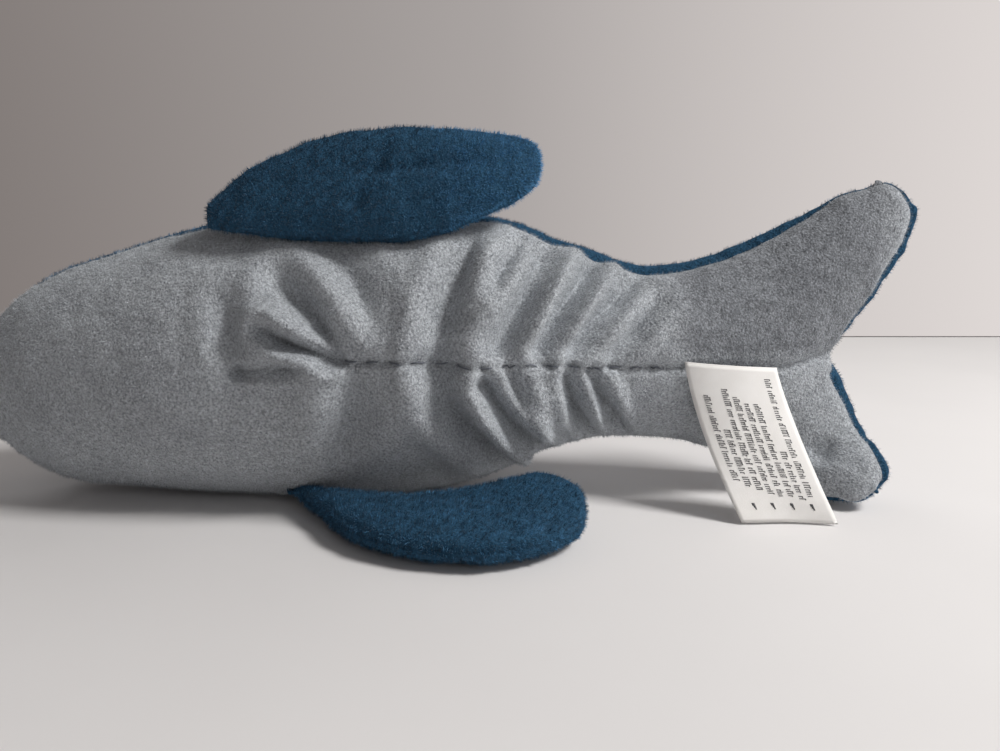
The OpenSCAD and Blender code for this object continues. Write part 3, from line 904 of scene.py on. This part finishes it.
def refitted(p):
    """Filling has drawn the cloth's edges in, so the shape is widened to the toy's measured outline."""
    q = p.copy()
    centre = middle_z(np.minimum(p[:, 0], BEND_X))
    base = BEND_X + 20.0
    across_at = np.arange(SNOUT_X + 8, BEND_X + 0.93 * TAIL_LENGTH, 2.0)
    behind_at = np.arange(3, 36, 3.0)
    for way, shorter in ((1, 0.4), (-1, 4.6)):
        out = way * (q[:, 2] - centre)
        wider = stretch(q[:, 0], out, reach_at, across_at)
        q[:, 2] = np.where(out > 0, centre + way * out * wider, q[:, 2])
        out = way * (q[:, 2] - STOCK_Z)
        behind = np.maximum(q[:, 0] - base, 0)
        longer = stretch(out, behind, lambda s: rear_x(s) - base - shorter * min(1, s / 20), behind_at)
        moved = base + (q[:, 0] - base) * (1 + (longer - 1) * ramp(out, 0, 4))
        q[:, 0] = np.where((out > 0) & (q[:, 0] > base), moved, q[:, 0])
    return q


def build_body():
    """The skin of body and tail, filled, drawn in at its seams and cut into its three panels."""
    whole = unfolded_body(inset=1.6, voxel=3.0)
    inflate(whole, pressure=4.0, cap=2.2)
    relax(whole, 22)
    subdivide(whole, 2)
    p = refitted(places(whole))
    put(whole, p)
    across = np.abs(from_middle(p)) / reach_at(p[:, 0])
    belly_side = ramp(SEAM_Y - p[:, 1], 1.0, 6.0) * ramp(across, 1.0, 0.82)
    rise = belly_relief(p) * belly_side
    rise += 0.12 * waves(p, 9, 11) + 0.05 * waves(p, 3, 12)
    edge = blue_edge(p)
    rise += groove(whole, edge, 0.8, 1.2)
    rise += groove(whole, from_middle(p), 0.9, 1.2) * ramp(p[:, 1] - SEAM_Y, 3, 8)
    put(whole, p + normals(whole) * rise[:, None])
    belly = part_of(whole, "belly_plush", edge, False)
    rear = part_of(whole, "rear", edge, True)
    middle = from_middle(places(rear))
    left = part_of(rear, "back_plush_left", middle, True)
    right = part_of(rear, "back_plush_right", middle, False)
    drop(whole, rear)
    for thing in (belly, left, right):
        put(thing, folded(places(thing)))
    return belly, left, right


def bent_at_tail(thing):
    """Bakes the piece's placement into its mesh; nothing is bent."""
    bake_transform(thing)


def finish_skin(thing, kind, slot_name, *nodes):
    thicken(thing, WALL)
    paint(thing, MATERIALS[kind])
    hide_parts(*nodes)


def finish_fibre(thing, *nodes):
    paint(thing, MATERIALS["fibre"])
    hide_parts(*nodes)


def make_body():
    belly, left, right = build_body()
    surface = BVHTree.FromPolygons(
        [v.co for v in belly.data.vertices], [tuple(f.vertices) for f in belly.data.polygons]
    )
    length, nap = 0.8, (1, 0, 0)
    piles = [
        pile("belly_pile_front", belly, "grey", 4.6, length, nap, 21, (-200, -15)),
        pile("belly_pile_rear", belly, "grey", 4.6, length, nap, 24, (-15, 200)),
        pile("back_pile_left", left, "blue", 3.6, length, nap, 22),
        pile("back_pile_right", right, "blue", 3.6, length, nap, 23),
    ]
    finish_skin(belly, "grey", "belly_plush", "belly_panel", "tail_belly_panel")
    finish_skin(left, "blue", "back_plush", "back_panel_left", "tail_back_panel_left")
    finish_skin(right, "blue", "back_plush", "back_panel_right", "tail_back_panel_right")
    fibre = unfolded_body(inset=6.0, voxel=3.5)
    put(fibre, folded(places(fibre)))
    fibre.name = "body_fibre"
    subdivide(fibre, 1)
    finish_fibre(fibre, "body_filling", "tail_filling")
    for thing in (belly, left, right, fibre, *piles):
        bent_at_tail(thing)
    return surface


# ---- fins


# Each outline's shares of the length, then shares of the chord or of half the thickness
LEFT_SHAPE = {
    "inner": [
        (0, -0.12), (0.12, -0.16), (0.386, -0.2), (0.56, -0.2),
        (0.71, -0.11), (0.86, 0.08), (0.95, 0.2), (1, 0.32),
    ],
    "outer": [
        (0, 0.2), (0.1, 0.46), (0.25, 0.7), (0.36, 0.79),
        (0.55, 0.84), (0.78, 0.8), (0.93, 0.74), (1, 0.66),
    ],
    "deep": [(0, 0.5), (0.13, 1.0), (0.35, 1.3), (0.7, 1.35), (0.9, 1.2), (1, 0.8)],
}
RIGHT_SHAPE = {
    "inner": [
        (0, -0.4), (0.1, -0.3), (0.2, -0.18), (0.4, 0.02), (0.55, 0.05),
        (0.7, 0.0), (0.85, -0.04), (0.94, 0.03), (1, 0.2),
    ],
    "outer": [
        (0, -0.2), (0.08, 0.0), (0.15, 0.2), (0.22, 0.44), (0.32, 0.74), (0.45, 0.95),
        (0.6, 1.06), (0.74, 1.06), (0.86, 0.92), (0.95, 0.7), (1, 0.5),
    ],
    "deep": [(0, 0.45), (0.13, 0.85), (0.35, 1), (0.7, 1.1), (0.9, 1), (1, 0.7)],
}
DORSAL_SHAPE = {
    "inner": [(0, 0), (0.3, 0.16), (0.6, 0.4), (0.85, 0.68), (1, 0.92)],
    "outer": [(0, 1), (0.3, 0.93), (0.6, 0.96), (0.85, 1.05), (1, 1.08)],
    "deep": [(0, 1.15), (0.5, 1.1), (0.85, 0.9), (1, 0.6)],
}
COS_LEFT, SIN_LEFT = math.cos(math.radians(67)), math.sin(math.radians(67))
FIN_SIZE = (70, 27, 8)
DORSAL_SIZE = (30.2, 40, 6.4)
# The root is how far a fin reaches past its base. The hinge is two places along the bend axis, which nothing
# here uses.
FINS = {
    "left": {
        "size": FIN_SIZE, "shape": LEFT_SHAPE, "root": 3.0, "relaxed": 14, "halves": ("front", "rear"),
        "origin": (-38.5, -23.05, 62.61),
        "axes": ((1, 0, 0), (0, COS_LEFT, SIN_LEFT), (0, -SIN_LEFT, COS_LEFT)),
        "body": "left_pectoral_fin", "nap": (1, 0, 0), "bend_axis": 1, "hinge": (-5.0, 1.5),
    },
    "right": {
        "size": FIN_SIZE, "shape": RIGHT_SHAPE, "root": -1.5, "relaxed": 14, "halves": ("floor", "top"),
        "origin": (-29.5, -29.93, 4.3), "axes": ((1, 0, 0), (0, -1, 0), (0, 0, -1)),
        "body": "right_pectoral_fin", "nap": (1, 0, 0), "bend_axis": 1, "hinge": (-5.0, 1.5),
    },
    "dorsal": {
        "size": DORSAL_SIZE, "shape": DORSAL_SHAPE, "root": 1.5, "relaxed": 6, "halves": ("left", "right"),
        "origin": (-31.5, 23.22, 31.33), "axes": ((0, 1, 0), (1, 0, 0), (0, 0, 1)),
        "body": "dorsal_fin", "nap": (0.6, 1, 0), "bend_axis": 0, "hinge": (-0.5, 4.0),
    },
}


def fin_rings(size, shape, inset, root, ends=0.0):
    """Rings along a fin in its own frame; root lengthens it below its base and ends shortens both ends."""
    length, chord, thick = size
    u = (1 - np.cos(np.linspace(0, math.pi, 26))) / 2
    u = ends / length + u * (1 - 2 * ends / length)
    centre = chord * (curve(u, shape["outer"]) + curve(u, shape["inner"])) / 2
    reach = np.maximum(chord * (curve(u, shape["outer"]) - curve(u, shape["inner"])) / 2 - inset, 0.75)
    half = np.maximum(thick / 2 * curve(u, shape["deep"]) - inset, 0.35)
    turn = np.linspace(0, 2 * math.pi, 32, endpoint=False)
    c, s = np.cos(turn), np.sin(turn)
    x = inset + u * (length - 2 * inset)
    x = x - root * (1 - ramp(u, 0, 0.3))
    v = centre[:, None] - reach[:, None] * c[None]
    w = half[:, None] * (np.sign(s) * np.abs(s) ** 0.75)[None]
    return np.stack([np.broadcast_to(x[:, None], v.shape), v, w], -1)


def placed(thing, fin):
    """Moves a mesh from the fin's own frame to the toy's."""
    axes = np.array(fin["axes"], float)
    put(thing, np.array(fin["origin"]) + places(thing) @ axes)
    if np.linalg.det(axes) < 0:
        thing.data.flip_normals()


def lifted(p, name):
    """Raises the right fin's inner edge off the floor, towards its rear end."""
    q = p.copy()
    if name == "right":
        q[:, 2] -= 6.0 * ramp(p[:, 0], 30, 62) * ramp(p[:, 1], 16, -3)
    return q


def fin_relief(p, name):
    """Soft folds of the stuffed fin and the line its filling leaves along the middle."""
    rise = 0.14 * waves(p, 9, len(name)) + 0.06 * waves(p, 3.5, len(name) + 1)
    front, floor = ramp(p[:, 2], 0, 1.5), ramp(-p[:, 2], 0, 1.5)
    if name == "left":
        d, along = line_distance(p[:, 0], p[:, 1], [(24, 9), (40, 10.5), (56, 12)])
        rise -= 0.9 * mound(d / 1.6) * np.sin(np.pi * np.clip(along, 0.05, 0.95)) * front
        d, _ = line_distance(p[:, 0], p[:, 1], [(30, 3), (34, 9), (36, 15)])
        rise -= 0.7 * mound(d / 2.0) * front
    if name == "right":
        d, _ = line_distance(p[:, 0], p[:, 1], [(14, 8), (34, 11), (54, 11)])
        rise -= 0.4 * mound(d / 2.2) * floor
    return rise


def fin_skins(name):
    """The fin's two cloth halves, filled and drawn in at the seam between them."""
    fin = FINS[name]
    whole = facing_out(mesh_object("fin", *loft(fin_rings(fin["size"], fin["shape"], 0.5, fin["root"]))))
    remesh(whole, 2.0)
    inflate(whole, pressure=4.0, cap=1.8)
    relax(whole, fin["relaxed"])
    subdivide(whole, 2)
    p = places(whole)
    length = fin["size"][0]
    clear = ramp(p[:, 0], 3, 9) * ramp(p[:, 0], length, length - 4)
    rise = fin_relief(p, name) + groove(whole, p[:, 2], 0.6, 0.9) * clear
    put(whole, lifted(p + normals(whole) * rise[:, None], name))
    skins = []
    for half, above in zip(fin["halves"], (True, False)):
        skin = part_of(whole, f"{name}_fin_{half}_plush", p[:, 2], above)
        placed(skin, fin)
        on_floor = places(skin)
        on_floor[:, 2] = np.maximum(on_floor[:, 2], 0.15)
        put(skin, on_floor)
        skins.append(skin)
    drop(whole)
    return skins


def fin_fibre(name):
    fin = FINS[name]
    rings = fin_rings(fin["size"], fin["shape"], 3.0, 0, 9.0)
    fibre = facing_out(mesh_object(f"{name}_fin_fibre", *loft(rings)))
    remesh(fibre, 1.2)
    put(fibre, lifted(places(fibre), name))
    placed(fibre, fin)
    finish_fibre(fibre, f"{name}_fin_filling")
    return fibre


def make_fin(name):
    fin = FINS[name]
    skins = fin_skins(name)
    fuzz = [
        pile(f"{skin.name}_pile", skin, "blue", 9.0, 0.9, fin["nap"], 31 + 2 * len(name) + i)
        for i, skin in enumerate(skins)
    ]
    for skin, half in zip(skins, fin["halves"]):
        finish_skin(skin, "blue", "back_plush", f"{name}_fin_{half}_cloth")
    fibre = fin_fibre(name)
    for thing in (*skins, *fuzz, fibre):
        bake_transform(thing)


# ---- label


LABEL = {"x": 61.0, "top": 31.6, "root_y": -22.4, "drift": 11.0, "swing": 9.0, "width": 20.0, "loft": 0.8}
# Where each row of the print starts and ends down the label
PRINT_STARTS = (0.2, 0.42, 0.15, 0.2, 0.24, 0.24, 0.55, 0.07)
PRINT_ENDS = (0.74, 0.78, 0.8, 0.82, 0.84, 0.84, 0.85, 0.85)


def label_point(a, t, layer):
    """A point of the ribbon: a across it, t down it, layer 1 in front and -1 behind."""
    width, droop = LABEL["width"], LABEL["swing"] * t**1.35
    x = LABEL["x"] + a * width + LABEL["drift"] * t**1.1 - 0.8 * math.sin(math.pi * t) * (1 - a)
    curl = 1.6 * (2 * a - 1) ** 2 * math.sin(math.pi * min(1, 0.25 + 0.8 * t)) - 1.0 * a * t
    apart = LABEL["loft"] * math.sin(math.pi * t) ** 0.8 * (0.7 + 0.5 * a) + 0.2
    y = LABEL["root_y"] - droop + curl - layer * apart / 2 - 0.5 * math.sin(5 * a + 2) * t
    z = LABEL["top"] * (1 - t) + 0.45 + (0.35 if layer < 0 else 0)
    return x, y, z - 1.3 * (a - 0.5) * (1 - t)


def label_grid(rows, columns):
    """Rows of points down the ribbon's front and up its back."""
    down = [(i / (rows - 1), 1) for i in range(rows)]
    up = [(1 - i / (rows - 1), -1) for i in range(1, rows)]
    return [[label_point(j / (columns - 1), t, layer) for j in range(columns)] for t, layer in down + up]


def make_label():
    rows, columns = 44, 22
    path = label_grid(rows, columns)
    points = np.array(path, float).reshape(-1, 3)
    n = len(path)
    faces = [
        (i * columns + j, i * columns + j + 1, (i + 1) * columns + j + 1, (i + 1) * columns + j)
        for i in range(n - 1)
        for j in range(columns - 1)
    ]
    ribbon = mesh_object("label_ribbon", points, faces)
    change = ribbon.modifiers.new("Solidify", "SOLIDIFY")
    change.thickness = 0.16 * MM
    change.offset = 0
    settle(ribbon)
    paint(ribbon, MATERIALS["ribbon"])
    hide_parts("care_label")
    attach(ribbon, "label")
    marks = make_print()
    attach(marks, "label")


def make_print():
    """Greeked print: rows of short upright marks in word-long groups that spell nothing."""
    rng = np.random.default_rng(5)
    points, faces = [], []

    def mark(a0, a1, t0, t1):
        first = len(points)
        for lift in (0.1, 0.16):
            for a, t in ((a0, t0), (a1, t0), (a1, t1), (a0, t1)):
                x, y, z = label_point(a, t, 1)
                points.append((x, y - lift, z))
        for f in ((3, 2, 1, 0), (4, 5, 6, 7), (0, 1, 5, 4), (1, 2, 6, 5), (2, 3, 7, 6), (3, 0, 4, 7)):
            faces.append(tuple(first + k for k in f))

    for row, (start, end) in enumerate(zip(PRINT_STARTS, PRINT_ENDS)):
        a, t = 0.12 + row * 0.1, start
        while t < end:
            word = t + rng.uniform(0.03, 0.13)
            while t < min(word, end):
                tall = rng.choice((0.045, 0.065))
                mark(a, a + tall, t, t + 0.0042)
                if rng.random() < 0.6:
                    mark(a + tall - 0.01, a + tall, t, t + 0.0095)
                t += rng.uniform(0.011, 0.016)
            t += 0.014
    for a in (0.2, 0.4, 0.6, 0.8):
        for k in range(3):
            mark(a + 0.008 * k, a + 0.03, 0.88 + 0.012 * k, 0.895 + 0.012 * k)
    return paint(mesh_object("label_print", points, faces), MATERIALS["print"])


# ---- threads and eyes


def strand(points, radius, sides=7):
    """Tube through points with rounded ends."""
    p = np.array(points, float)
    ways = np.gradient(p, axis=0)
    ways /= np.linalg.norm(ways, axis=1, keepdims=True)
    side = np.cross(ways, (0, 1, 0.1))
    side /= np.linalg.norm(side, axis=1, keepdims=True)
    up = np.cross(side, ways)
    share_along = np.linspace(-1, 1, len(p))
    r = radius * np.sqrt(np.clip(1 - share_along**8, 0.05, 1))[:, None, None]
    turn = np.linspace(0, 2 * math.pi, sides, endpoint=False)
    ring = np.cos(turn)[None, :, None] * side[:, None] + np.sin(turn)[None, :, None] * up[:, None]
    return loft(p[:, None] + ring * r)


def on_surface(surface, x, z, out):
    """The point of the belly's cloth at x, z, moved out by some mm."""
    hit, way = surface.ray_cast(Vector((x * MM, -0.2, z * MM)), Vector((0, 1, 0)))[:2]
    if hit is None:
        hit, way = surface.find_nearest(Vector((x * MM, SEAM_Y * MM - 0.002, z * MM)))[:2]
    place = hit / MM + way * out
    return tuple(place)


def stitches(name, lines, radius, node):
    """Short strands of thread along lines, in place of the CAD's thread."""
    made = paint(joined(name, [strand(line, radius) for line in lines]), MATERIALS["thread"])
    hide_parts(node)
    return made


def make_closing(surface):
    lines = []
    for k, at in enumerate(stitch_places()):
        x0, x1 = at - 0.3, at + 0.55 * STITCH
        way = 0.35 * math.sin(2.1 * k)
        line = []
        for t in np.linspace(0, 1, 7):
            x = x0 + (x1 - x0) * t
            z = float(closing_z(x)) + way * (2 * t - 1)
            line.append(on_surface(surface, x, z, 0.5 * math.sin(math.pi * t) - 0.05))
        lines.append(line)
    bent_at_tail(stitches("closing_stitches", lines, 0.16, "closing_thread"))


def make_mouth(surface):
    """Stitches that curve across the snout."""
    half_turn, count = math.radians(54), 6
    lines = []
    for k in range(count):
        line = []
        for t in np.linspace(k + 0.12, k + 0.88, 7):
            turn = half_turn * (2 * t / count - 1)
            x = SNOUT_X + 9 + 6 * (turn / half_turn) ** 2
            z = float(middle_z(x)) + float(half_width(x)) * math.sin(turn)
            line.append(on_surface(surface, x, z, 0.35 * math.sin(math.pi * (t - k))))
        lines.append(line)
    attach(stitches("mouth_stitches", lines, 0.3, "mouth_thread"), "body")


def finish_eyes():
    """The eyes and washers stay the CAD's, with materials of their own."""
    dark, pale = eye_material(), washer_material()
    for side in ("left", "right"):
        paint(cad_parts[f"{side}_eye"], dark)
        paint(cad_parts[f"{side}_eye_washer"], pale)


# ---- stage, light and camera


# The floor ends at the wall with a thin dark strip of painted shade along the wall's foot, and reaches far
# out on the other sides
FAR, WALL_Y, FLOOR_Z = 1500, 243, -0.05


def staged(name, near, far, material):
    """A wide flat piece of the stage from near to far, each given as (y, z)."""
    corners = [(-FAR, *near), (FAR, *near), (FAR, *far), (-FAR, *far)]
    made = mesh_object(name, corners, [(0, 1, 2, 3)])
    made.data.materials.append(material)


def make_stage():
    stops = [(0.3, (0.78, 0.765, 0.76)), (0.7, (0.8, 0.785, 0.78))]
    pale, _, shader = coloured("pale_floor", 60.0, 3.0, stops)
    set_values(shader, {"Roughness": 0.75, "Specular IOR Level": 0.2})
    staged("floor", (-FAR, FLOOR_Z), (WALL_Y, FLOOR_Z), pale)
    # Painted shade: a thin dark strip where the wall meets the floor
    dark, _, shader = new_material("gap_at_the_wall")
    set_values(shader, {"Base Color": (0.12, 0.11, 0.11, 1)})
    staged("wall_foot_shade_strip", (WALL_Y, FLOOR_Z), (WALL_Y + 1.2, 0.3), dark)


def make_backdrop():
    """A plain background that brightens towards +X, as a wall lit from that side, and is dimmer elsewhere."""
    world = bpy.data.worlds.new("backdrop")
    scene.world = world
    world.use_nodes = True
    tree = world.node_tree
    axes = axes_of(tree, "Generated")
    colour = graded(
        tree, mapped(tree, axes["X"], -0.6, 0.6),
        [(0.0, (0.2, 0.175, 0.165)), (0.5, (0.4, 0.37, 0.36)), (1.0, (0.78, 0.73, 0.71))],
    )
    ahead = mapped(tree, axes["Y"], -0.5, 0.2, 0.35, 1.0)
    above = mapped(tree, axes["Z"], 0.3, 0.8, 1.0, 0.4)
    shade = tree.nodes.new("ShaderNodeVectorMath")
    shade.operation = "SCALE"
    tree.links.new(colour, shade.inputs[0])
    tree.links.new(product(tree, ahead, above), shade.inputs["Scale"])
    tree.links.new(shade.outputs["Vector"], tree.nodes["Background"].inputs["Color"])


def area_light(name, place, target, size, power, colour):
    data = bpy.data.lights.new(name, "AREA")
    data.shape = "RECTANGLE"
    data.size, data.size_y = size
    data.energy = power
    data.color = colour
    light = bpy.data.objects.new(name, data)
    light.location = place
    way = Vector(target) - Vector(place)
    light.rotation_euler = way.to_track_quat("-Z", "Y").to_euler()
    scene.collection.objects.link(light)


def make_lights():
    area_light("key", (0.47, -0.16, 0.5), (0.06, 0, 0), (0.16, 0.16), 4.0, (1, 0.985, 0.97))
    area_light("fill", (0.3, -0.6, 0.32), (0, 0, 0.03), (0.4, 0.3), 0.4, (0.95, 0.97, 1))
    area_light("rear", (-0.3, 0.55, 0.45), (0, 0, 0.03), (0.5, 0.4), 0.7, (1, 0.99, 0.98))


def make_camera():
    data = bpy.data.cameras.new("camera")
    data.sensor_width = 36
    data.lens = 29.16
    data.clip_start, data.clip_end = 0.002, 20
    camera = bpy.data.objects.new("camera", data)
    camera.location = (0.0210, -0.19393, 0.0636)
    camera.rotation_euler = (math.radians(79), 0, 0)
    scene.collection.objects.link(camera)
    scene.camera = camera


scene.view_settings.view_transform = "Standard"
make_camera()
make_backdrop()
make_lights()
make_stage()
belly_surface = make_body()
for fin_name in FINS:
    make_fin(fin_name)
make_label()
make_closing(belly_surface)
make_mouth(belly_surface)
finish_eyes()
